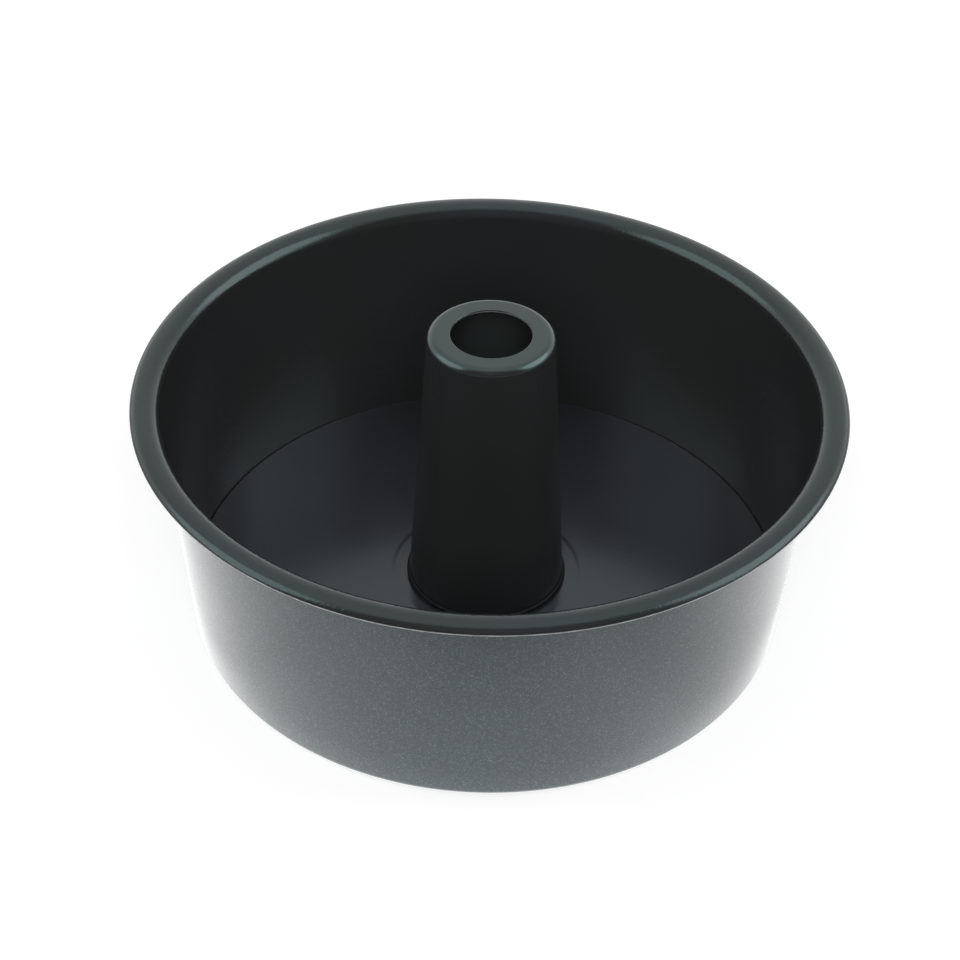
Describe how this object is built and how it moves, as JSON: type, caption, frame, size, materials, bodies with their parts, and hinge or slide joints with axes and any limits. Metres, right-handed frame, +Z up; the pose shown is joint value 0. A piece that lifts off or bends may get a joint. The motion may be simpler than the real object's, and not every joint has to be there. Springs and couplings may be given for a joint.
{
  "type": "tube cake tin",
  "caption": "Round tapered tube tin with a turned-down rim and a loose flat base that lifts out with its tall tapered centre tube, for angel food cake.",
  "frame": {"origin": "on the table under the middle of the tin", "axes": "+Z up along the tube's axis, which the tin is round about"},
  "size_m": [0.26, 0.26, 0.1189],
  "materials": {
    "speckled_outer_coat": "dark grey satin coat with a fine metallic speckle",
    "smooth_inner_coat": "smooth greenish black non-stick coat, half gloss"
  },
  "bodies": {
    "pan": {"pan_shell": "speckled_outer_coat"},
    "loose_base": {"base_plate": "smooth_inner_coat", "centre_tube": "smooth_inner_coat"}
  },
  "joints": [
    {"name": "base_lift", "type": "slide", "parent": "pan", "child": "loose_base", "axis": [0, 0, 1], "range_m": [0, 0.11]}
  ]
}
